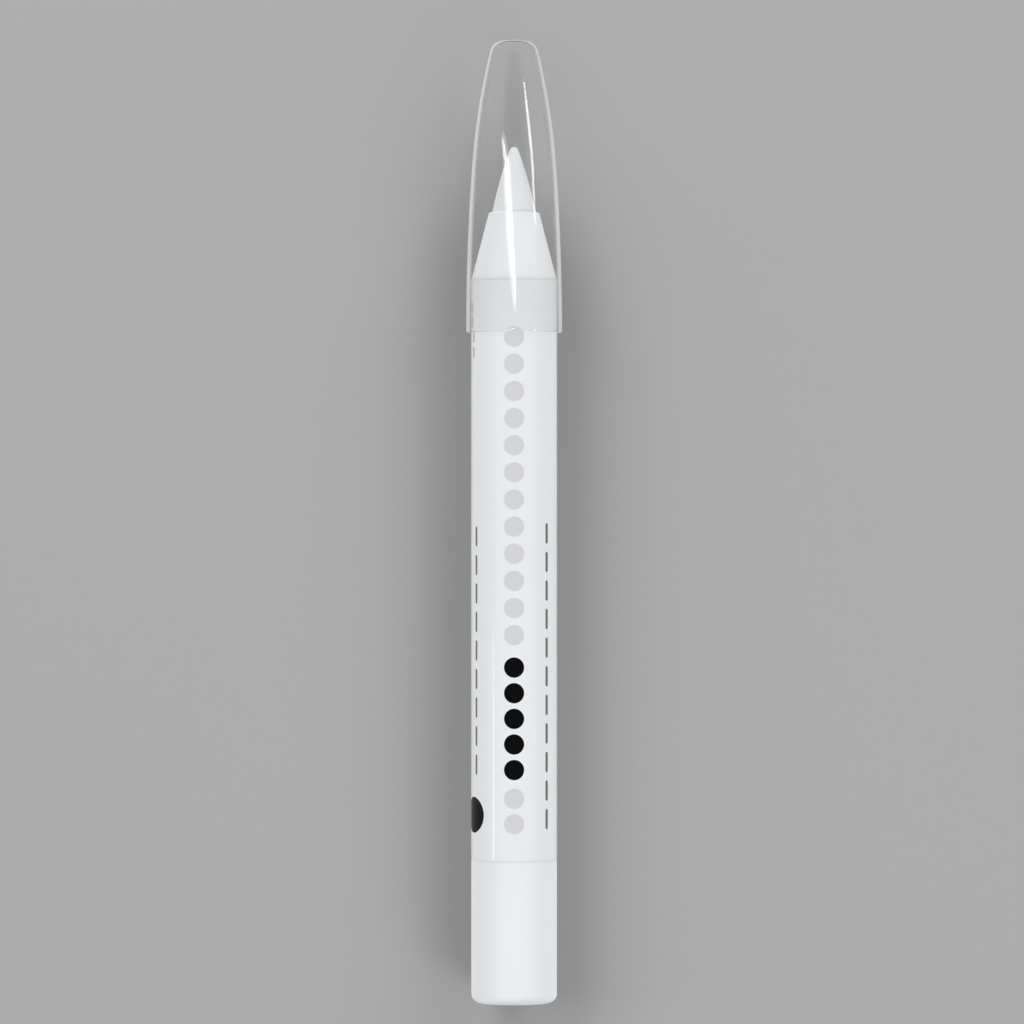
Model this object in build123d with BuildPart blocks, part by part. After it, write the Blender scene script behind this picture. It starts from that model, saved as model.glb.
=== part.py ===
from build123d import *

import os
from math import asin, atan, atan2, ceil, cos, degrees, hypot, pi, sin

# A twist-up jumbo crayon with a clear push-on cap, lying on its side.
# The pen axis runs along +Y with the cap end forward, +Z is up and the pen lies on Z = 0.
# Lengths are millimetres. A station is a distance along the pen axis from the base end.

# Clearances
press_gap = 0.02          # pieces that are pressed or glued together
run_gap = 0.05            # pieces that turn or slide on each other
seam_gap = 0.03           # open seam between the turning base and the barrel
lug_slip = 0.12           # each side of a lug in its slot and in its groove
end_gap = 0.20            # end play of the turning pieces under the nose

# Lengths along the pen
base_length = 19.2        # base end to the barrel seam
barrel_length = 77.2      # barrel seam to the nose seam
nose_length = 9.15        # cone of the nose
crayon_reach = 8.75       # crayon standing out of the nose
cap_overlap = 6.9         # cap mouth below the nose seam
cap_length = 39.0

# Walls, stacked outwards from the crayon to the printed film
crayon_radius = 2.95
cup_wall = 0.45
guide_wall = 0.60
sleeve_wall = 0.90
barrel_wall = 0.64
film_thickness = 0.05
flush_step = 0.03         # base and nose stand this far inside the film

# Crayon
crayon_cone_length = 8.85
crayon_tip_radius = 0.6
crayon_tip_turn = 70.0    # degrees of the rounded tip, from the axis to the flank
retract_travel = 9.0      # draws the tip just inside the nose

# Nose
nose_lip = 0.36           # wall of the nose at its open end
nose_edge_radius = 0.28
nose_spigot_length = 7.0

# Cap
cap_slip = 0.05           # round the barrel film
cap_mouth_wall = 0.60
cap_wall = 0.53
cap_roof = 0.55
cap_mouth_straight = 0.5  # parallel stretch at the mouth
cap_knee_run = 22.0       # length of the gentle lower curve
cap_knee_drop = 0.81      # how far the radius falls over the lower curve
cap_top_drop = 3.56       # how far the radius falls from the mouth to the top
cap_top_corner = 1.4
cap_roof_corner = 0.87
cap_mouth_edge = 0.15
cap_seat_past = 1.0       # parallel seat carried past the nose seam

# Twist base and its core
base_floor = 1.2
base_edge_radius = 1.2
base_seam_run = 0.5       # slight taper of the base towards the seam
base_seam_drop = 0.03
core_floor = 1.2
core_spigot_length = 3.4  # core standing into the barrel
core_rib_count = 6
core_rib_width = 0.8
core_rib_height = 0.25
core_rib_setback = 2.5    # rib ends below the seam
guide_key_count = 2
guide_key_width = 1.2
guide_key_height = 0.35
guide_key_setback = 4.0

# Screw drive
groove_lead = 6.0         # crayon travel for one turn of the base
lug_sides = (90, 270)      # degrees round the pen axis, straight down and straight up
groove_depth = 0.50
lug_radius = 0.55
cup_floor_skin = 0.15     # over and under the lugs
cup_depth = 7.0
slot_foot_margin = 0.6    # guide slot above the foot of the sleeve
slot_top_margin = 2.0     # guide slot below the lock ring
guide_nose_margin = 2.7   # guide tube ends this far below the nose seam

# Lock ring and snap beads
lock_ring_thickness = 1.0
lock_groove_depth = 0.20
lock_ring_opening = 1.0
bead_height = 0.15
bead_half_width = 0.5
bead_root = 0.2           # part of a bead's outline inside its piece
sleeve_bead_rise = 6.0    # sleeve bead above the foot of the sleeve

# Radii that follow from the stack of walls
cup_bore = crayon_radius + press_gap
cup_radius = cup_bore + cup_wall
guide_bore = cup_radius + run_gap
guide_radius = guide_bore + guide_wall
sleeve_bore = guide_radius + run_gap
sleeve_radius = sleeve_bore + sleeve_wall
barrel_bore = sleeve_radius + press_gap
barrel_radius = barrel_bore + barrel_wall
film_bore = barrel_radius + press_gap
film_radius = film_bore + film_thickness
base_radius = film_radius - flush_step
core_radius = barrel_bore - run_gap
core_bore = guide_radius + press_gap
base_bore = core_radius + press_gap
nose_bore = crayon_radius + run_gap
nose_end_radius = nose_bore + nose_lip
nose_spigot_radius = barrel_bore - press_gap
nose_guide_bore = guide_radius + run_gap
groove_floor_radius = sleeve_bore + groove_depth
lug_reach = groove_floor_radius - run_gap
cap_seat_radius = film_radius + cap_slip
cap_mouth_radius = cap_seat_radius + cap_mouth_wall

# Stations of the outside
nose_seam = base_length + barrel_length
nose_end = nose_seam + nose_length
crayon_tip = nose_end + crayon_reach
cap_mouth = nose_seam - cap_overlap
cap_top = cap_mouth + cap_length

# Stations of the inside, upwards from the base
core_foot = base_floor + press_gap
core_top = base_length + core_spigot_length
guide_foot = core_foot + core_floor + press_gap
o_ring_outer = barrel_bore - press_gap
o_ring_section = (o_ring_outer - core_bore) / 2
o_ring_station = core_top + press_gap + o_ring_section
sleeve_foot = o_ring_station + o_ring_section + run_gap
sleeve_bead = sleeve_foot + sleeve_bead_rise
slot_foot = sleeve_foot + slot_foot_margin
lug_station = slot_foot + lug_slip + lug_radius + retract_travel
cup_floor = 2 * (lug_radius + cup_floor_skin)
cup_foot = lug_station - cup_floor / 2
crayon_foot = cup_foot + cup_floor + press_gap
cup_top = cup_foot + cup_floor + cup_depth

# Stations of the inside, downwards from the nose
nose_spigot_foot = nose_seam - nose_spigot_length
nose_bead = nose_seam - nose_spigot_length / 2
lock_ring_top = nose_spigot_foot - end_gap
lock_ring_foot = lock_ring_top - lock_ring_thickness
sleeve_top = lock_ring_foot - run_gap
slot_top = lock_ring_foot - slot_top_margin
guide_top = nose_seam - guide_nose_margin

# Widths of the slots and grooves that the lugs run in
slot_width = 2 * (lug_radius + lug_slip)
groove_rise_angle = atan(groove_lead / (2 * pi * sleeve_bore))
groove_width = slot_width / cos(groove_rise_angle)
groove_angle = 360 * groove_width / groove_lead

# The grooves start whole turns below the lugs and run out at both ends of the sleeve
groove_turns_below = ceil((lug_station - sleeve_foot) / groove_lead) + 1
groove_start = lug_station - groove_lead * groove_turns_below
groove_run = sleeve_top + groove_lead - groove_start

# The two tangent arcs of the cap's outline
cap_knee_curve = (cap_knee_run**2 + cap_knee_drop**2) / (2 * cap_knee_drop)
cap_knee_turn = asin(cap_knee_run / cap_knee_curve)
cap_upper_run = cap_length - cap_mouth_straight - cap_knee_run
cap_upper_drop = cap_top_drop - cap_knee_drop
cap_upper_half_turn = atan2(cap_upper_drop, cap_upper_run) - cap_knee_turn
cap_upper_curve = hypot(cap_upper_run, cap_upper_drop) / (2 * sin(cap_upper_half_turn))

# The pen's own planes: radius across and station along, and square cuts across the pen
axis_height = cap_mouth_radius
base_end_y = -cap_top / 2
pen_plane = Plane(origin=(0, base_end_y, axis_height), x_dir=(1, 0, 0), z_dir=(0, 0, 1))
pen_axis = Axis(origin=(0, base_end_y, axis_height), direction=(0, 1, 0))


def cross_plane(station):
    """Plane square to the pen axis, facing the cap end."""
    return Plane(origin=(0, base_end_y + station, axis_height), x_dir=(1, 0, 0), z_dir=(0, 1, 0))


def tube_wall(inner, outer, foot, top):
    """Half section of a plain tube round the pen axis."""
    with BuildSketch(pen_plane) as section:
        with BuildLine():
            Polyline((inner, foot), (outer, foot), (outer, top), (inner, top), close=True)
        make_face()
    return section.sketch


def bead_ridge(radius, station, gap):
    """Half section of a low snap bead on a cylinder, or with a gap of the groove that it snaps into."""
    height = bead_height + gap
    half_width = bead_half_width + gap
    root = radius - bead_root
    with BuildSketch(pen_plane) as section:
        with BuildLine():
            Polyline(
                (root, station - half_width),
                (radius, station - half_width),
                (radius + height, station),
                (radius, station + half_width),
                (root, station + half_width),
                close=True,
            )
        make_face()
    return section.sketch


def rib_sections(station, radius, count, width, height):
    """Cross-sections of evenly spaced ribs on a circle round the pen axis."""
    with BuildSketch(cross_plane(station)) as section:
        with PolarLocations(radius, count):
            Rectangle(2 * height, width)
    return section.sketch


def cap_outline(inset, top, corner):
    """Half outline of the cap drawn in by inset, from the mouth to a flat top with a rounded corner."""
    mouth_radius = cap_mouth_radius - inset
    knee_curve = cap_knee_curve - inset
    upper_curve = cap_upper_curve - inset
    bend_start = cap_mouth + cap_mouth_straight
    upper_rise = top - bend_start - knee_curve * sin(cap_knee_turn)
    upper_turn = asin(sin(cap_knee_turn) + upper_rise / upper_curve) - cap_knee_turn
    with BuildSketch(pen_plane) as section:
        with BuildLine():
            side = Line((mouth_radius, cap_mouth), (mouth_radius, bend_start))
            knee = JernArc(side @ 1, side % 1, knee_curve, degrees(cap_knee_turn))
            upper = JernArc(knee @ 1, knee % 1, upper_curve, degrees(upper_turn))
            Polyline(upper @ 1, (0, top), (0, cap_mouth), side @ 0)
        make_face()
        fillet(section.vertices().group_by(Axis.Y)[-1].sort_by(Axis.X)[-1], corner)
    return section.sketch


os.makedirs("parts", exist_ok=True)

# Clear cap with an even wall and a parallel seat on the barrel
with BuildPart() as cap:
    revolve(cap_outline(0, cap_top, cap_top_corner), axis=pen_axis)
    revolve(cap_outline(cap_wall, cap_top - cap_roof, cap_roof_corner), axis=pen_axis, mode=Mode.SUBTRACT)
    seat_end = nose_seam + cap_seat_past
    revolve(tube_wall(0, cap_seat_radius, cap_mouth, seat_end), axis=pen_axis, mode=Mode.SUBTRACT)
    fillet(cap.faces().sort_by(Axis.Y)[0].edges(), cap_mouth_edge)
cap.part.label = "cap"
export_step(cap.part, "parts/cap.step")

# Barrel tube, with grooves inside for the snap beads of the sleeve and the nose
with BuildPart() as barrel:
    revolve(tube_wall(barrel_bore, barrel_radius, base_length, nose_seam), axis=pen_axis)
    for bead_station in (sleeve_bead, nose_bead):
        revolve(bead_ridge(barrel_bore, bead_station, press_gap), axis=pen_axis, mode=Mode.SUBTRACT)
barrel.part.label = "barrel"
export_step(barrel.part, "parts/barrel.step")

# Printed film wrapped round the barrel
with BuildPart() as barrel_film:
    revolve(tube_wall(film_bore, film_radius, base_length, nose_seam), axis=pen_axis)
barrel_film.part.label = "barrel_film"
export_step(barrel_film.part, "parts/barrel_film.step")

# Nose cone with its spigot in the barrel, bored for the crayon and for the end of the guide tube
with BuildPart() as nose_cone:
    nose_foot = nose_seam + press_gap
    with BuildSketch(pen_plane) as nose_section:
        with BuildLine():
            Polyline(
                (nose_bore, nose_spigot_foot),
                (nose_spigot_radius, nose_spigot_foot),
                (nose_spigot_radius, nose_foot),
                (base_radius, nose_foot),
                (nose_end_radius, nose_end),
                (nose_bore, nose_end),
                close=True,
            )
        make_face()
        front_corner = nose_section.vertices().group_by(Axis.Y)[-1].sort_by(Axis.X)[-1]
        fillet(front_corner, min(nose_edge_radius, 0.8 * nose_lip))
    revolve(axis=pen_axis)
    revolve(bead_ridge(nose_spigot_radius, nose_bead, 0), axis=pen_axis)
    guide_seat = tube_wall(0, nose_guide_bore, nose_spigot_foot, guide_top + end_gap)
    revolve(guide_seat, axis=pen_axis, mode=Mode.SUBTRACT)
nose_cone.part.label = "nose_cone"
export_step(nose_cone.part, "parts/nose_cone.step")

# Sleeve with right-handed spiral grooves inside, snapped into the barrel
with BuildSketch(cross_plane(groove_start)) as grooved_bore_section:
    Circle(sleeve_bore)
    for lug_side in lug_sides:
        with BuildLine():
            groove_edge = lug_side - groove_angle / 2
            groove_floor = CenterArc((0, 0), groove_floor_radius, groove_edge, groove_angle)
            Polyline(groove_floor @ 1, (0, 0), groove_floor @ 0)
        make_face()
grooved_bore = Solid.extrude_linear_with_rotation(
    grooved_bore_section.sketch.face(),
    center=cross_plane(groove_start).origin,
    normal=pen_axis.direction * groove_run,
    angle=360 * groove_run / groove_lead,
)
with BuildPart() as spiral_sleeve:
    revolve(tube_wall(0, sleeve_radius, sleeve_foot, sleeve_top), axis=pen_axis)
    revolve(bead_ridge(sleeve_radius, sleeve_bead, 0), axis=pen_axis)
    add(grooved_bore, mode=Mode.SUBTRACT)
spiral_sleeve.part.label = "spiral_sleeve"
export_step(spiral_sleeve.part, "parts/spiral_sleeve.step")

# Guide tube with two straight slots, keyed into the base core and grooved for the lock ring
with BuildPart() as guide_tube:
    revolve(tube_wall(guide_bore, guide_radius, guide_foot, guide_top), axis=pen_axis)
    key_length = base_length - guide_key_setback - guide_foot
    keys = rib_sections(guide_foot, guide_radius, guide_key_count, guide_key_width, guide_key_height)
    extrude(keys, amount=key_length)
    revolve(tube_wall(0, guide_bore, guide_foot, guide_top), axis=pen_axis, mode=Mode.SUBTRACT)
    ring_groove_floor = guide_radius - lock_groove_depth
    ring_groove_foot = lock_ring_foot - press_gap
    ring_groove_top = lock_ring_top + press_gap
    ring_groove = tube_wall(ring_groove_floor, sleeve_bore, ring_groove_foot, ring_groove_top)
    revolve(ring_groove, axis=pen_axis, mode=Mode.SUBTRACT)
    with BuildSketch(pen_plane):
        with Locations((0, (slot_foot + slot_top) / 2)):
            SlotOverall(slot_top - slot_foot, slot_width, rotation=90)
    extrude(amount=sleeve_bore, both=True, mode=Mode.SUBTRACT)
guide_tube.part.label = "guide_tube"
export_step(guide_tube.part, "parts/guide_tube.step")

# Open ring that snaps round the guide tube above the sleeve and keeps the base on
with BuildPart() as lock_ring:
    ring_bore = guide_radius - lock_groove_depth + press_gap
    revolve(tube_wall(ring_bore, core_radius, lock_ring_foot, lock_ring_top), axis=pen_axis)
    with BuildSketch(cross_plane(lock_ring_foot)):
        Rectangle(core_radius, lock_ring_opening, align=(Align.MIN, Align.CENTER))
    extrude(amount=lock_ring_thickness, mode=Mode.SUBTRACT)
lock_ring.part.label = "lock_ring"
export_step(lock_ring.part, "parts/lock_ring.step")

# Rubber ring that rubs on the barrel bore, so that the base stays where it is turned
with BuildPart() as friction_o_ring:
    with BuildSketch(pen_plane):
        with Locations((o_ring_outer - o_ring_section, o_ring_station)):
            Circle(o_ring_section)
    revolve(axis=pen_axis)
friction_o_ring.part.label = "friction_o_ring"
export_step(friction_o_ring.part, "parts/friction_o_ring.step")

# Core of the base, a ribbed cup that carries the guide tube and turns in the barrel's foot
with BuildPart() as base_core:
    revolve(tube_wall(0, core_radius, core_foot, core_top), axis=pen_axis)
    rib_length = base_length - core_rib_setback - core_foot
    ribs = rib_sections(core_foot, core_radius, core_rib_count, core_rib_width, core_rib_height)
    extrude(ribs, amount=rib_length)
    core_floor_top = core_foot + core_floor
    revolve(tube_wall(0, core_bore, core_floor_top, core_top), axis=pen_axis, mode=Mode.SUBTRACT)
    keyway_width = guide_key_width + 2 * press_gap
    keyways = rib_sections(core_floor_top, core_bore, guide_key_count, keyway_width, guide_key_height)
    extrude(keyways, amount=core_top - core_floor_top, mode=Mode.SUBTRACT)
base_core.part.label = "base_core"
export_step(base_core.part, "parts/base_core.step")

# Outer shell of the base that the fingers turn, fluted inside for the ribs of the core
with BuildPart() as twist_base:
    base_top = base_length - seam_gap
    with BuildSketch(pen_plane):
        with BuildLine():
            Polyline(
                (0, 0),
                (base_radius, 0),
                (base_radius, base_top - base_seam_run),
                (base_radius - base_seam_drop, base_top),
                (0, base_top),
                close=True,
            )
        make_face()
    revolve(axis=pen_axis)
    fillet(twist_base.faces().sort_by(Axis.Y)[0].edges(), base_edge_radius)
    revolve(tube_wall(0, base_bore, base_floor, base_top), axis=pen_axis, mode=Mode.SUBTRACT)
    flute_width = core_rib_width + 2 * press_gap
    flutes = rib_sections(base_floor, base_bore, core_rib_count, flute_width, core_rib_height)
    extrude(flutes, amount=base_top - base_floor, mode=Mode.SUBTRACT)
twist_base.part.label = "twist_base"
export_step(twist_base.part, "parts/twist_base.step")

# Cup that carries the crayon, with two round lugs through the guide slots into the spiral grooves
with BuildPart() as elevator_cup:
    with BuildSketch(pen_plane):
        with Locations((0, lug_station)):
            Circle(lug_radius)
    extrude(amount=lug_reach, both=True)
    revolve(tube_wall(0, cup_radius, cup_foot, cup_top), axis=pen_axis)
    revolve(tube_wall(0, cup_bore, cup_foot + cup_floor, cup_top), axis=pen_axis, mode=Mode.SUBTRACT)
elevator_cup.part.label = "elevator_cup"
export_step(elevator_cup.part, "parts/elevator_cup.step")

# Crayon, a long cylinder with a slightly bulged cone and a rounded tip
with BuildPart() as crayon:
    with BuildSketch(pen_plane):
        with BuildLine():
            tip = JernArc((0, crayon_tip), (1, 0), crayon_tip_radius, -crayon_tip_turn)
            cone_foot = (crayon_radius, crayon_tip - crayon_cone_length)
            flank = TangentArc(tip @ 1, cone_foot, tangent=tip % 1)
            Polyline(flank @ 1, (crayon_radius, crayon_foot), (0, crayon_foot), tip @ 0)
        make_face()
    revolve(axis=pen_axis)
crayon.part.label = "crayon"
export_step(crayon.part, "parts/crayon.step")
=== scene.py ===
import math

import bmesh
import bpy
from mathutils import Matrix, Vector


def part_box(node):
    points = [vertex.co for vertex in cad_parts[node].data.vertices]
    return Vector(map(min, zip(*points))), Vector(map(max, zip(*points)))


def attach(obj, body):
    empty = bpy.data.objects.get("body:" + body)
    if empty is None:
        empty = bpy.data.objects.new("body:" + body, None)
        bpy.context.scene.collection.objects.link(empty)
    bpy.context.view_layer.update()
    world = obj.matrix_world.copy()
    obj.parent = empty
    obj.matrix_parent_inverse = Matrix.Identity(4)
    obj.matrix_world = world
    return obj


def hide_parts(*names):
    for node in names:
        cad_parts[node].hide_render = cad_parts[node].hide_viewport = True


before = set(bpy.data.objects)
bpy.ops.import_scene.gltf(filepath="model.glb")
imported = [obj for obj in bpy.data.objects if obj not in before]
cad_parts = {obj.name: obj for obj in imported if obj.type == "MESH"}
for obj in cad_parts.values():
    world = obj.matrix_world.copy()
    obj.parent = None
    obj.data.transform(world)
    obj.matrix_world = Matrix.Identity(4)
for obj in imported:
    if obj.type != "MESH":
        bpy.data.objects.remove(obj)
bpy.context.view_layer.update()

# Boxes of the frame's nodes, the height of the pen axis and the place of its base end, all in metres
cap_low, cap_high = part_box("cap")
film_low, film_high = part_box("barrel_film")
base_low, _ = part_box("twist_base")
sleeve_low, sleeve_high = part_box("spiral_sleeve")
cup_low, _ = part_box("elevator_cup")
axis_height = (cap_low.z + cap_high.z) / 2
base_end = base_low.y
pen_middle = Vector((0, 0, axis_height))
pen_way = (0, 1, 0)

# Sizes of the pieces are millimetres. A station is a distance along the pen from its base end.
MM = 0.001


def station_of(y):
    """Station of a point of the frame along the pen."""
    return (y - base_end) / MM


def radius_of(low, high):
    """Largest radius of a turned node, from its box."""
    return (high.x - low.x) / 2 / MM


# Stations and radii that the frame gives
seam_station = station_of(film_low.y)
nose_seam = station_of(film_high.y)
cap_mouth = station_of(cap_low.y)
cap_top = station_of(cap_high.y)
film_radius = radius_of(film_low, film_high)
cap_mouth_radius = radius_of(cap_low, cap_high)

# Film: it laps a little over the base's seam, and its rounded ends have a ring beside them,
# which keeps the shading of the long side even
film_thickness = 0.05
film_edge = 0.04
film_lap = 0.025
film_margin = 0.2

# Cap: a short straight mouth, a gentle arc up to the knee, a tighter one up to the top corner
cap_wall = 0.53
cap_roof = 0.55
cap_mouth_straight = 0.5
cap_mouth_edge = 0.15
cap_knee_run = 22.0
cap_knee_drop = 0.81
cap_top_drop = 3.56
cap_top_corner = 1.75
cap_roof_corner = 1.22

# Spiral sleeve inside the barrel, with grooves for the lugs of the elevator cup
sleeve_foot = station_of(sleeve_low.y)
sleeve_top = station_of(sleeve_high.y)
sleeve_bore = 4.12
sleeve_radius = 5.02
sleeve_bead_rise = 6.0
bead_height = 0.15
bead_half_width = 0.5
groove_radius = 4.66
groove_lead = 6.0
groove_turn = math.radians(82.5)
lug_rise = 0.7
lug_station = station_of(cup_low.y) + lug_rise

# How finely the turned pieces are divided, and when points are one, level or a sharp corner
turn_steps = 192
side_steps = 40
corner_steps = 10
groove_steps = 14
thread_steps = 36
merge_distance = 0.0001
level_slack = 0.01
sharp_angle = math.radians(35)
full_turn = 2 * math.pi
quarter_turn = math.pi / 2

# Colours, linear
film_white = (0.845, 0.86, 0.875, 1)
film_shade = (0.83, 0.845, 0.86, 1)
plastic_white = (0.85, 0.863, 0.88, 1)
plastic_shade = (0.83, 0.843, 0.86, 1)
# The nose's whites are a lighter copy of the base's, painted light that makes up for the light the cap
# holds back
nose_painted_light_white = (0.885, 0.898, 0.91, 1)
nose_painted_light_shade = (0.865, 0.878, 0.89, 1)
wax_white = (0.85, 0.863, 0.873, 1)
wax_shade = (0.82, 0.833, 0.84, 1)
# Grey painted into the plastics beside their seams as shade
painted_seam_shade_grey = (0.40, 0.41, 0.42, 1)
natural_white = (0.76, 0.76, 0.74, 1)
natural_shade = (0.71, 0.71, 0.69, 1)
rubber_black = (0.030, 0.030, 0.032, 1)
rubber_grey = (0.055, 0.055, 0.057, 1)
cap_tint = (1.0, 1.0, 1.0, 1)
cap_tint_deep = (0.992, 0.992, 0.992, 1)
cap_shadow_tint = (0.985, 0.988, 0.988, 1)
cap_shadow_deep = (0, 0, 0, 1)
# Whitish painted light on the cap's edges
cap_painted_rim_light_white = (0.93, 0.93, 0.92, 1)
ink_grey = (0.70, 0.70, 0.71, 1)
ink_black = (0.003, 0.003, 0.003, 1)
ink_dash = (0.16, 0.16, 0.165, 1)
floor_grey = (0.389, 0.389, 0.389, 1)
floor_grey_dark = (0.379, 0.379, 0.379, 1)

# Surfaces: cloud rates are per metre, lengths are millimetres, ripples and relief are depths of bumps
cloud_rate = 120.0
grain_detail = 3.0
# How far the painted seam shade reaches either side of a seam, in millimetres
painted_seam_shade_reach = 0.6
film_roughness = (0.02, 0.04)
film_gloss = 0.2
film_ripple = 0.008
wax_roughness = (0.45, 0.62)
wax_grain = 0.35
wax_glow = 0.25
wax_glow_reach = (1.0, 0.9, 0.8)
wax_glow_depth = 0.6
wax_ring_pitch = 0.45
wax_ring_share = 0.25
wax_relief = 0.012
floor_cloud_rate = 6.0
floor_roughness = 0.95

# Clear cap: its surface and shadow, and the painted whitish light on it where it turns away, at its mouth
# and its top edge
cap_ior = 1.5
cap_ripple = 0.004
cap_shade_power = 5.0
cap_painted_rim_light_facing = (0.53, 0.71)
cap_painted_rim_light_strength = 0.62
cap_mouth_painted_light = 0.7
cap_corner_painted_light = 0.2
cap_corner_drop = 0.21
cap_corner_reach = 0.189

# Printed rows of plain marks: start station, pitch, count, place round the film, half sizes, ink
print_softness = 0.04
dot = (1.35, 1.35)
dash = (1.35, 0.22)
short_dash = (0.7, 0.15)
disc = (2.4, 2.4)
print_rows = (
    (47.4, 3.6, 12, 0.0, dot, ink_grey),
    (29.6, 3.4, 5, 0.0, dot, ink_black),
    (22.4, 3.4, 2, 0.0, dot, ink_grey),
    (22.8, 3.8, 11, 4.9, dash, ink_dash),
    (30.0, 3.8, 9, -6.1, dash, ink_dash),
    (85.8, 2.0, 4, -6.9, short_dash, ink_dash),
    (22.8, 4.8, 1, -6.86, disc, ink_black),
)

# Floor and lamps are in metres. The sky dims between two heights, where 0 is level and 1 straight up.
floor_half = 3.0
sky_low = 0.42
sky_high = 0.17
sky_change = (0.64, 0.94)

# Soft boxes: name, the two tilts that they stretch between, radiance
box_distance = 1.3
box_width = 0.7
soft_boxes = (
    ("back_left_box", (-40, 28), (-40, 58), 5.0),
    ("back_right_box", (50, 28), (50, 58), 3.2),
    ("front_right_box", (40, -58), (40, -28), 3.9),
    ("left_low_box", (-65, -20), (-65, 20), 2.3),
    ("left_high_box", (-35, -12), (-35, 12), 1.4),
    ("right_high_box", (35, -12), (35, 12), 1.2),
)

# Narrow lamps for the glints: name, two tilts, distance, width, radiance, seen through the cap or not
glint_strips = (
    ("overhead_strip", (-37, 21), (4.5, 4.5), 1.6, 0.08, 4.8, True),
    ("overhead_glow", (-38, 21.5), (4.5, 4.5), 1.62, 0.19, 1.6, True),
    ("right_strip", (39.5, 33.5), (57, 16), 1.6, 0.12, 8.0, True),
    ("left_strip", (-56.8, -2.5), (-56.8, -22), 1.6, 0.14, 7.5, False),
)

# Camera, in millimetres: its lens and sensor, and its place from the middle of the pen
camera_sensor = 36.0
camera_lens = 205.2
camera_aside = -0.28
camera_along = 1.29
camera_height = 780


def scene_object(name, data):
    """New object in the scene."""
    thing = bpy.data.objects.new(name, data)
    bpy.context.scene.collection.objects.link(thing)
    return thing


def beside_axis(radius, station):
    """Point of a half outline in the level plane through the pen axis."""
    return Vector((radius * MM, base_end + station * MM, axis_height))


def line_to(bm, end, radius, station):
    """Carries an outline on to a point and returns its new end."""
    point = bm.verts.new(beside_axis(radius, station))
    if end is not None:
        bm.edges.new((end, point))
    return point


def arc_round(bm, end, centre, turn, steps, axis=(0, 0, 1)):
    """Carries an outline on along an arc round a centre and returns its new end."""
    made = bmesh.ops.spin(
        bm, geom=[end], cent=beside_axis(*centre), axis=axis, angle=turn, steps=steps
    )
    return next(item for item in made["geom_last"] if isinstance(item, bmesh.types.BMVert))


def trace(bm, corners):
    """Draws a closed half outline through corners of radius, station and rounding."""
    first = end = None
    for i, (radius, station, rounding) in enumerate(corners):
        here = Vector((radius, station))
        before = (Vector(corners[i - 1][:2]) - here).normalized()
        after = (Vector(corners[(i + 1) % len(corners)][:2]) - here).normalized()
        turn = math.pi - before.angle(after)
        end = line_to(bm, end, *(here + before * rounding * math.tan(turn / 2)))
        first = first or end
        if rounding:
            centre = here + (before + after).normalized() * rounding / math.cos(turn / 2)
            side = 1 if before.cross(after) < 0 else -1
            end = arc_round(bm, end, centre, side * turn, corner_steps)
    bm.edges.new((end, first))


def turn_round(bm, outline):
    """Turns part of a half outline all the way round the pen axis."""
    bmesh.ops.spin(
        bm,
        geom=outline,
        cent=beside_axis(0, 0),
        axis=pen_way,
        angle=full_turn,
        steps=turn_steps,
        use_merge=True,
    )


def finished_piece(name, bm):
    """Makes a piece of a closed mesh, with its faces pointing out and its corners sharp."""
    bmesh.ops.remove_doubles(bm, verts=bm.verts, dist=merge_distance * MM)
    bmesh.ops.recalc_face_normals(bm, faces=bm.faces)
    mesh = bpy.data.meshes.new(name)
    bm.to_mesh(mesh)
    bm.free()
    mesh.shade_smooth()
    mesh.set_sharp_from_angle(angle=sharp_angle)
    return scene_object(name, mesh)


def cap_side(bm, end, inset, top, corner):
    """Carries the cap's outline from its mouth up the two tangent arcs and round the top corner."""
    bend_start = cap_mouth + cap_mouth_straight
    knee_curve = (cap_knee_run**2 + cap_knee_drop**2) / (2 * cap_knee_drop)
    knee_turn = math.asin(cap_knee_run / knee_curve)
    upper_run = cap_top - bend_start - cap_knee_run
    upper_drop = cap_top_drop - cap_knee_drop
    upper_half_turn = math.atan2(upper_drop, upper_run) - knee_turn
    upper_curve = math.hypot(upper_run, upper_drop) / (2 * math.sin(upper_half_turn))
    knee_centre = Vector((cap_mouth_radius - knee_curve, bend_start))
    towards_knee = Vector((math.cos(knee_turn), math.sin(knee_turn)))
    upper_centre = knee_centre + towards_knee * (knee_curve - upper_curve)
    corner_reach = upper_curve - inset - corner
    corner_rise = top - corner - upper_centre.y
    corner_turn = math.asin(corner_rise / corner_reach)
    corner_centre = upper_centre + Vector((corner_reach * math.cos(corner_turn), corner_rise))
    end = line_to(bm, end, cap_mouth_radius - inset, bend_start)
    end = arc_round(bm, end, knee_centre, knee_turn, side_steps)
    end = arc_round(bm, end, upper_centre, corner_turn - knee_turn, side_steps)
    return arc_round(bm, end, corner_centre, quarter_turn - corner_turn, 2 * corner_steps)


def clear_cap():
    """Clear cap with an even wall, a flat roof and a rounded mouth."""
    bore = cap_mouth_radius - cap_wall
    lip = cap_mouth + cap_mouth_edge
    bm = bmesh.new()
    outer = line_to(bm, None, cap_mouth_radius, lip)
    outer_top = cap_side(bm, outer, 0, cap_top, cap_top_corner)
    line_to(bm, outer_top, 0, cap_top)
    rim = arc_round(bm, outer, (cap_mouth_radius - cap_mouth_edge, lip), -quarter_turn, corner_steps)
    rim = line_to(bm, rim, bore + cap_mouth_edge, cap_mouth)
    rim = arc_round(bm, rim, (bore + cap_mouth_edge, lip), -quarter_turn, corner_steps)
    inner_top = cap_side(bm, rim, cap_wall, cap_top - cap_roof, cap_roof_corner)
    line_to(bm, inner_top, 0, cap_top - cap_roof)
    turn_round(bm, bm.verts[:] + bm.edges[:])
    return finished_piece("clear_cap", bm)


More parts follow.
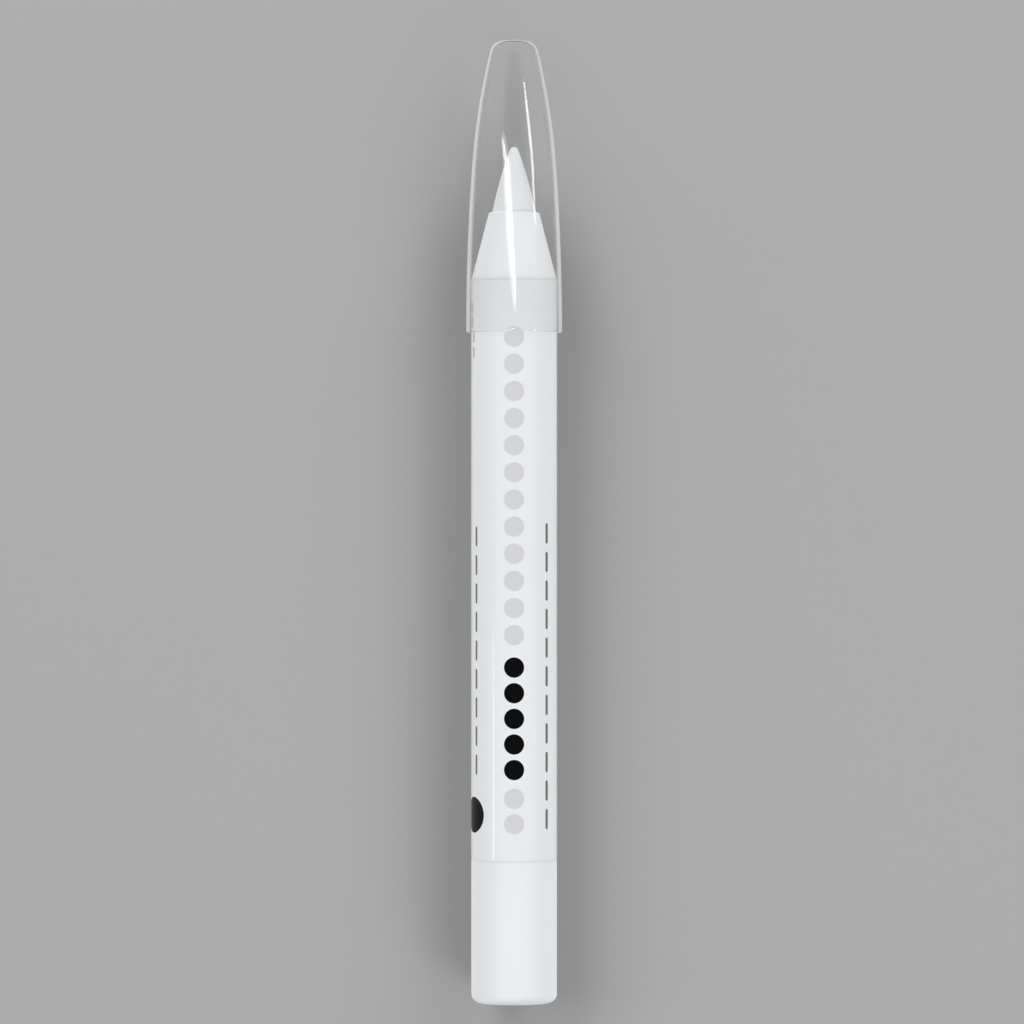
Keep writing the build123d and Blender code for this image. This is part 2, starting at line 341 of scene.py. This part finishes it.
def printed_film():
    """Thin printed film round the barrel tube, with softened ends."""
    bore = film_radius - film_thickness
    bm = bmesh.new()
    trace(
        bm,
        [
            (bore, seam_station - film_lap, 0),
            (film_radius, seam_station - film_lap, film_edge),
            (film_radius, seam_station + film_margin, 0),
            (film_radius, nose_seam - film_margin, 0),
            (film_radius, nose_seam, film_edge),
            (bore, nose_seam, 0),
        ],
    )
    turn_round(bm, bm.verts[:] + bm.edges[:])
    return finished_piece("printed_film", bm)


def radial_step(bm, end, ratio):
    """Carries an outline on straight away from or towards the pen axis and returns its new end."""
    centre = Vector((0, end.co.y, axis_height))
    point = bm.verts.new(centre + (end.co - centre) * ratio)
    bm.edges.new((end, point))
    return point


def grooved_sleeve():
    """Sleeve with two right-handed spiral grooves inside and a snap bead outside."""
    length = sleeve_top - sleeve_foot
    turns = length / groove_lead
    steps = math.ceil(turns * thread_steps)
    lug_turns = (lug_station - sleeve_foot) / groove_lead
    groove_edge = quarter_turn + groove_turn / 2 - full_turn * lug_turns
    centre = (0, sleeve_foot)
    bm = bmesh.new()
    end = line_to(bm, None, sleeve_bore, sleeve_foot)
    bmesh.ops.rotate(
        bm, verts=[end], cent=beside_axis(*centre), matrix=Matrix.Rotation(groove_edge, 3, "Y")
    )
    for _ in range(2):
        end = arc_round(bm, end, centre, math.pi - groove_turn, groove_steps, pen_way)
        end = radial_step(bm, end, groove_radius / sleeve_bore)
        end = arc_round(bm, end, centre, groove_turn, groove_steps, pen_way)
        end = radial_step(bm, end, sleeve_bore / groove_radius)
    bmesh.ops.remove_doubles(bm, verts=bm.verts, dist=merge_distance * MM)
    bmesh.ops.spin(
        bm,
        geom=bm.verts[:] + bm.edges[:],
        cent=beside_axis(*centre),
        axis=pen_way,
        dvec=(0, length * MM / steps, 0),
        angle=full_turn * turns,
        steps=steps,
    )
    bead = sleeve_foot + sleeve_bead_rise
    outside = [line_to(bm, None, sleeve_radius, sleeve_foot)]
    for radius, station in (
        (sleeve_radius, bead - bead_half_width),
        (sleeve_radius + bead_height, bead),
        (sleeve_radius, bead + bead_half_width),
        (sleeve_radius, sleeve_top),
    ):
        outside.append(line_to(bm, outside[-1], radius, station))
    turn_round(bm, outside + [bm.edges.get(ends) for ends in zip(outside, outside[1:])])
    for station in (sleeve_foot, sleeve_top):
        level = base_end + station * MM
        rims = [edge for edge in bm.edges if edge.is_boundary]
        ring = [edge for edge in rims if all(abs(v.co.y - level) < level_slack * MM for v in edge.verts)]
        bmesh.ops.triangle_fill(bm, use_beauty=True, edges=ring)
    return finished_piece("grooved_sleeve", bm)


def feed(tree, socket, value):
    """Links a socket to another, or gives it a plain value."""
    if isinstance(value, bpy.types.NodeSocket):
        tree.links.new(value, socket)
    else:
        socket.default_value = value


def calc(tree, operation, *values):
    """Result of a Math node on numbers or sockets."""
    node = tree.nodes.new("ShaderNodeMath")
    node.operation = operation
    for socket, value in zip(node.inputs, values):
        feed(tree, socket, value)
    return node.outputs[0]


def noise(tree, point, scale, detail=2.0):
    """Noise texture on a point, from 0 to 1."""
    node = tree.nodes.new("ShaderNodeTexNoise")
    feed(tree, node.inputs["Vector"], point)
    feed(tree, node.inputs["Scale"], scale)
    node.inputs["Detail"].default_value = detail
    return node.outputs["Fac"]


def spread(tree, value, low, high):
    """Maps a value from 0..1 to low..high."""
    node = tree.nodes.new("ShaderNodeMapRange")
    feed(tree, node.inputs["Value"], value)
    node.inputs["To Min"].default_value = low
    node.inputs["To Max"].default_value = high
    return node.outputs["Result"]


def eased(tree, value, start, end, low, high):
    """Goes smoothly from low to high while a value goes from start to end."""
    result = spread(tree, value, low, high)
    result.node.interpolation_type = "SMOOTHSTEP"
    result.node.inputs["From Min"].default_value = start
    result.node.inputs["From Max"].default_value = end
    return result


def tint(tree, factor, first, second):
    """Mixes two colours by a factor."""
    node = tree.nodes.new("ShaderNodeMix")
    node.data_type = "RGBA"
    feed(tree, node.inputs["Factor"], factor)
    feed(tree, node.inputs["A"], first)
    feed(tree, node.inputs["B"], second)
    return node.outputs["Result"]


def blend(tree, share, first, second):
    """Mixes two shaders by the share of the second."""
    node = tree.nodes.new("ShaderNodeMixShader")
    feed(tree, node.inputs["Fac"], share)
    tree.links.new(first.outputs[0], node.inputs[1])
    tree.links.new(second.outputs[0], node.inputs[2])
    return node


def new_group(name, inputs, outputs):
    """Empty shader node group with named inputs and outputs; returns it and its two ends."""
    group = bpy.data.node_groups.new(name, "ShaderNodeTree")
    for socket, kind in inputs:
        group.interface.new_socket(socket, in_out="INPUT", socket_type=kind)
    for socket in outputs:
        group.interface.new_socket(socket, in_out="OUTPUT", socket_type="NodeSocketFloat")
    return group, group.nodes.new("NodeGroupInput"), group.nodes.new("NodeGroupOutput")


def use_group(tree, group, **values):
    """Places a group in a material and feeds its inputs by name, with _ for a space."""
    node = tree.nodes.new("ShaderNodeGroup")
    node.node_tree = group
    for name, value in values.items():
        feed(tree, node.inputs[name.replace("_", " ")], value)
    return node.outputs


def pen_place_group():
    """Station along the pen in millimetres and angle round it, 0 on top, from a point."""
    tree, given, result = new_group(
        "pen_place", [("Point", "NodeSocketVector")], ["Station", "Angle"]
    )
    split = tree.nodes.new("ShaderNodeSeparateXYZ")
    feed(tree, split.inputs[0], given.outputs["Point"])
    along = calc(tree, "SUBTRACT", split.outputs["Y"], base_end)
    height = calc(tree, "SUBTRACT", split.outputs["Z"], axis_height)
    feed(tree, result.inputs["Station"], calc(tree, "DIVIDE", along, MM))
    feed(tree, result.inputs["Angle"], calc(tree, "ARCTAN2", split.outputs["X"], height))
    return tree


def mark_row_group():
    """Row of equal rounded marks along the pen: 1 inside a mark, 0 outside."""
    names = ["Station", "Around", "Start", "Pitch", "Count", "Centre", "Half Length", "Half Width"]
    tree, given, result = new_group(
        "mark_row", [(name, "NodeSocketFloat") for name in names], ["Mask"]
    )
    value = given.outputs
    rounding = calc(tree, "MINIMUM", value["Half Length"], value["Half Width"])
    steps = calc(tree, "DIVIDE", calc(tree, "SUBTRACT", value["Station"], value["Start"]), value["Pitch"])
    started = calc(tree, "GREATER_THAN", steps, 0.0)
    unfinished = calc(tree, "LESS_THAN", steps, value["Count"])
    from_middle = calc(tree, "SUBTRACT", calc(tree, "FRACT", steps), 0.5)
    along = calc(tree, "ABSOLUTE", calc(tree, "MULTIPLY", from_middle, value["Pitch"]))
    aside = calc(tree, "ABSOLUTE", calc(tree, "SUBTRACT", value["Around"], value["Centre"]))
    square = []
    for distance, half in ((along, value["Half Length"]), (aside, value["Half Width"])):
        past = calc(tree, "SUBTRACT", distance, calc(tree, "SUBTRACT", half, rounding))
        square.append(calc(tree, "POWER", calc(tree, "MAXIMUM", past, 0.0), 2.0))
    reach = calc(tree, "SQRT", calc(tree, "ADD", *square))
    inside = calc(tree, "DIVIDE", calc(tree, "SUBTRACT", rounding, reach), print_softness)
    clamped = tree.nodes.new("ShaderNodeClamp")
    feed(tree, clamped.inputs["Value"], calc(tree, "ADD", inside, 0.5))
    within = calc(tree, "MULTIPLY", started, unfinished)
    feed(tree, result.inputs["Mask"], calc(tree, "MULTIPLY", clamped.outputs[0], within))
    return tree


def grain_group():
    """Fine grain of a moulded surface, from 0 to 1, for a grain size in millimetres."""
    tree, given, result = new_group(
        "grain", [("Point", "NodeSocketVector"), ("Size", "NodeSocketFloat")], ["Fine"]
    )
    rate = calc(tree, "DIVIDE", 1 / MM, given.outputs["Size"])
    feed(tree, result.inputs["Fine"], noise(tree, given.outputs["Point"], rate, grain_detail))
    return tree


def clouds_group():
    """Broad cloudiness of a surface, from 0 to 1."""
    tree, given, result = new_group("clouds", [("Point", "NodeSocketVector")], ["Broad"])
    feed(tree, result.inputs["Broad"], noise(tree, given.outputs["Point"], cloud_rate))
    return tree


def new_material(name):
    """Material with a Principled shader; returns it with its tree, shader and point."""
    material = bpy.data.materials.new(name)
    material.use_nodes = True
    tree = material.node_tree
    shader = next(node for node in tree.nodes if node.type == "BSDF_PRINCIPLED")
    point = tree.nodes.new("ShaderNodeTexCoord").outputs["Object"]
    return material, tree, shader, point


def bump(tree, shader, height, depth):
    """Raises a shader's surface by a height from 0 to 1 times a depth in millimetres."""
    node = tree.nodes.new("ShaderNodeBump")
    node.inputs["Strength"].default_value = 1.0
    node.inputs["Distance"].default_value = depth * MM
    feed(tree, node.inputs["Height"], height)
    feed(tree, shader.inputs["Normal"], node.outputs["Normal"])


def moulded_plastic(name, light, dark, rough, grain_size, depth, gloss=0.5, seam=None, painted_seam_shade=0):
    """Moulded plastic: two close shades in broad clouds, a fine grain, and painted shade that greys it
    towards a seam.
    """
    material, tree, shader, point = new_material(name)
    fine = use_group(tree, grain, Point=point, Size=grain_size)["Fine"]
    colour = tint(tree, use_group(tree, clouds, Point=point)["Broad"], dark, light)
    # Painted shade: the colour greys towards the seam
    if seam is not None:
        station = use_group(tree, pen_place, Point=point)["Station"]
        away = calc(tree, "ABSOLUTE", calc(tree, "SUBTRACT", station, seam))
        near = calc(tree, "SUBTRACT", 1.0, calc(tree, "DIVIDE", away, painted_seam_shade_reach))
        near = calc(tree, "MAXIMUM", near, 0.0)
        colour = tint(tree, calc(tree, "MULTIPLY", near, painted_seam_shade), colour, painted_seam_shade_grey)
    feed(tree, shader.inputs["Base Color"], colour)
    feed(tree, shader.inputs["Roughness"], spread(tree, fine, *rough))
    shader.inputs["Specular IOR Level"].default_value = gloss
    shader.inputs["Diffuse Roughness"].default_value = 1.0
    bump(tree, shader, fine, depth)
    return material


def film_material():
    """Glossy white film with its printed rows of plain marks."""
    material, tree, shader, point = new_material("printed_film")
    place = use_group(tree, pen_place, Point=point)
    around = calc(tree, "MULTIPLY", place["Angle"], film_radius)
    broad = use_group(tree, clouds, Point=point)["Broad"]
    colour = tint(tree, broad, film_shade, film_white)
    for start, pitch, count, centre, (half_length, half_width), ink in print_rows:
        mask = use_group(
            tree,
            mark_row,
            Station=place["Station"],
            Around=around,
            Start=start,
            Pitch=pitch,
            Count=count,
            Centre=centre,
            Half_Length=half_length,
            Half_Width=half_width,
        )["Mask"]
        colour = tint(tree, mask, colour, ink)
    feed(tree, shader.inputs["Base Color"], colour)
    feed(tree, shader.inputs["Roughness"], spread(tree, broad, *film_roughness))
    shader.inputs["Specular IOR Level"].default_value = film_gloss
    shader.inputs["Diffuse Roughness"].default_value = 1.0
    bump(tree, shader, broad, film_ripple)
    return material


def cap_painted_light_share(tree, point, facing, camera_ray):
    """Share of painted whitish light on the cap: where it turns away, at its mouth and round the edge of
    its top.
    """
    rim = eased(tree, facing, *cap_painted_rim_light_facing, 0.0, cap_painted_rim_light_strength)
    rim = calc(tree, "MULTIPLY", rim, camera_ray)
    station = use_group(tree, pen_place, Point=point)["Station"]
    at_mouth = calc(tree, "LESS_THAN", station, cap_mouth + cap_mouth_edge / 2)
    at_corner = calc(tree, "COMPARE", station, cap_top - cap_corner_drop, cap_corner_reach)
    mouth = calc(tree, "MULTIPLY", at_mouth, cap_mouth_painted_light)
    corner = calc(tree, "MULTIPLY", at_corner, cap_corner_painted_light)
    return calc(tree, "MAXIMUM", rim, calc(tree, "MAXIMUM", mouth, corner))


def clear_plastic():
    """Clear polished plastic with painted whitish light at its edges, which lets light through to what is
    under it.
    """
    material, tree, shader, point = new_material("clear_cap")
    broad = use_group(tree, clouds, Point=point)["Broad"]
    feed(tree, shader.inputs["Base Color"], tint(tree, broad, cap_tint_deep, cap_tint))
    shader.inputs["Roughness"].default_value = 0.0
    shader.inputs["IOR"].default_value = cap_ior
    shader.inputs["Transmission Weight"].default_value = 1.0
    bump(tree, shader, broad, cap_ripple)
    path = tree.nodes.new("ShaderNodeLightPath").outputs
    layer = tree.nodes.new("ShaderNodeLayerWeight")
    layer.inputs["Blend"].default_value = 0.5
    facing = layer.outputs["Facing"]
    # Painted light: white diffuse mixed over the glass where it turns away, at its mouth and round its
    # top edge
    rim = tree.nodes.new("ShaderNodeBsdfDiffuse")
    rim.inputs["Color"].default_value = cap_painted_rim_light_white
    painted_light_share = cap_painted_light_share(tree, point, facing, path["Is Camera Ray"])
    rimmed = blend(tree, painted_light_share, shader, rim)
    see_through = tree.nodes.new("ShaderNodeBsdfTransparent")
    turned_away = calc(tree, "POWER", facing, cap_shade_power)
    shadow_tint = tint(tree, turned_away, cap_shadow_tint, cap_shadow_deep)
    feed(tree, see_through.inputs["Color"], shadow_tint)
    passing = calc(tree, "MAXIMUM", path["Is Shadow Ray"], path["Is Diffuse Ray"])
    surface = blend(tree, passing, rimmed, see_through)
    output = next(node for node in tree.nodes if node.type == "OUTPUT_MATERIAL")
    tree.links.new(surface.outputs[0], output.inputs["Surface"])
    return material


def crayon_wax():
    """Soft white wax with faint rings left by its mould."""
    material, tree, shader, point = new_material("crayon_wax")
    station = use_group(tree, pen_place, Point=point)["Station"]
    fine = use_group(tree, grain, Point=point, Size=wax_grain)["Fine"]
    broad = use_group(tree, clouds, Point=point)["Broad"]
    feed(tree, shader.inputs["Base Color"], tint(tree, broad, wax_shade, wax_white))
    feed(tree, shader.inputs["Roughness"], spread(tree, fine, *wax_roughness))
    shader.inputs["Diffuse Roughness"].default_value = 1.0
    shader.inputs["Subsurface Weight"].default_value = wax_glow
    shader.inputs["Subsurface Radius"].default_value = wax_glow_reach
    shader.inputs["Subsurface Scale"].default_value = wax_glow_depth * MM
    rings = calc(tree, "SINE", calc(tree, "MULTIPLY", station, full_turn / wax_ring_pitch))
    height = calc(tree, "ADD", fine, calc(tree, "MULTIPLY", rings, wax_ring_share))
    bump(tree, shader, height, wax_relief)
    return material


def floor_material():
    """Plain dull grey with faint clouds."""
    material, tree, shader, point = new_material("floor")
    broad = noise(tree, point, floor_cloud_rate)
    feed(tree, shader.inputs["Base Color"], tint(tree, broad, floor_grey_dark, floor_grey))
    shader.inputs["Roughness"].default_value = floor_roughness
    shader.inputs["Specular IOR Level"].default_value = 0.0
    return material


def dress(piece, material):
    """Gives a piece one material all over."""
    piece.data.materials.clear()
    piece.data.materials.append(material)
    return piece


def plain_floor():
    """Flat square floor under the pen."""
    mesh = bpy.data.meshes.new("floor")
    bm = bmesh.new()
    bmesh.ops.create_grid(bm, x_segments=1, y_segments=1, size=floor_half)
    bm.to_mesh(mesh)
    bm.free()
    return scene_object("floor", mesh)


def studio_sky():
    """White world light that dims towards straight up."""
    world = bpy.data.worlds.new("studio")
    world.use_nodes = True
    tree = world.node_tree
    background = next(node for node in tree.nodes if node.type == "BACKGROUND")
    background.inputs["Color"].default_value = (1, 1, 1, 1)
    way = tree.nodes.new("ShaderNodeSeparateXYZ")
    feed(tree, way.inputs[0], tree.nodes.new("ShaderNodeTexCoord").outputs["Generated"])
    strength = eased(tree, way.outputs["Z"], *sky_change, sky_low, sky_high)
    feed(tree, background.inputs["Strength"], strength)
    return world


def lamp(name, start, end, distance, width, radiance, glint=False):
    """Strip lamp over the pen, between two tilts from straight up, given in degrees across and along."""
    ends = []
    for across, along in (start, end):
        way = Vector((math.tan(math.radians(across)), math.tan(math.radians(along)), 1)).normalized()
        ends.append(way * distance)
    middle = (ends[0] + ends[1]) / 2
    back = middle.normalized()
    side = (ends[1] - ends[0]).normalized()
    side = (side - back * side.dot(back)).normalized()
    length = (ends[1] - ends[0]).length
    light = bpy.data.lights.new(name, "AREA")
    light.shape = "ELLIPSE" if glint else "RECTANGLE"
    light.size = length
    light.size_y = width
    light.energy = radiance * math.pi * length * width
    fixture = scene_object(name, light)
    turn = Matrix((side, back.cross(side), back)).transposed().to_4x4()
    fixture.matrix_world = Matrix.Translation(pen_middle + middle) @ turn
    fixture.visible_camera = False
    fixture.visible_diffuse = not glint
    fixture.visible_glossy = glint
    fixture.visible_transmission = glint
    return fixture


pen_place = pen_place_group()
mark_row = mark_row_group()
grain = grain_group()
clouds = clouds_group()

# New pieces in place of the cap and the film
cap_piece = dress(clear_cap(), clear_plastic())
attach(cap_piece, "cap")
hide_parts("cap")
film_piece = dress(printed_film(), film_material())
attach(film_piece, "barrel")
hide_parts("barrel_film")

# Finishes of the CAD nodes that stay, and a lighter mesh in place of the spiral sleeve
# Painted shade greys the base and the nose towards their seams
satin_plastic = moulded_plastic(
    "satin_plastic",
    plastic_white,
    plastic_shade,
    rough=(0.42, 0.58),
    grain_size=0.22,
    depth=0.006,
    gloss=0.08,
    seam=seam_station,
    painted_seam_shade=0.1,
)
# Painted light: the nose gets a lighter white than the base
nose_plastic = moulded_plastic(
    "nose_plastic",
    nose_painted_light_white,
    nose_painted_light_shade,
    rough=(0.42, 0.58),
    grain_size=0.22,
    depth=0.006,
    gloss=0.08,
    seam=nose_seam,
    painted_seam_shade=0.22,
)
smooth_plastic = moulded_plastic(
    "smooth_plastic", plastic_white, plastic_shade, rough=(0.18, 0.30), grain_size=0.5, depth=0.003
)
natural_plastic = moulded_plastic(
    "natural_plastic", natural_white, natural_shade, rough=(0.30, 0.45), grain_size=0.4, depth=0.004
)
ring_rubber = moulded_plastic(
    "ring_rubber", rubber_grey, rubber_black, rough=(0.55, 0.75), grain_size=0.15, depth=0.01
)
node_finishes = {
    "twist_base": satin_plastic,
    "nose_cone": nose_plastic,
    "barrel": smooth_plastic,
    "crayon": crayon_wax(),
    "base_core": natural_plastic,
    "guide_tube": natural_plastic,
    "elevator_cup": natural_plastic,
    "lock_ring": natural_plastic,
    "friction_o_ring": ring_rubber,
}
for node_name, finish in node_finishes.items():
    dress(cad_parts[node_name], finish)
sleeve_piece = dress(grooved_sleeve(), natural_plastic)
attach(sleeve_piece, "barrel")
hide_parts("spiral_sleeve")

# Plain floor under the pen
floor = plain_floor()
dress(floor, floor_material())

# Soft light from the sky and six boxes, and narrow lamps that only show as glints
bpy.context.scene.world = studio_sky()
for lamp_name, start, end, radiance in soft_boxes:
    lamp(lamp_name, start, end, box_distance, box_width, radiance)
for lamp_name, start, end, distance, width, radiance, through_cap in glint_strips:
    strip = lamp(lamp_name, start, end, distance, width, radiance, glint=True)
    strip.visible_transmission = through_cap

# Camera straight over the pen, as in the photo
camera_data = bpy.data.cameras.new("camera")
camera_data.sensor_fit = "HORIZONTAL"
camera_data.sensor_width = camera_sensor
camera_data.lens = camera_lens
camera = scene_object("camera", camera_data)
camera.location = (camera_aside * MM, camera_along * MM, axis_height + camera_height * MM)
bpy.context.scene.camera = camera
bpy.context.scene.view_settings.view_transform = "Standard"
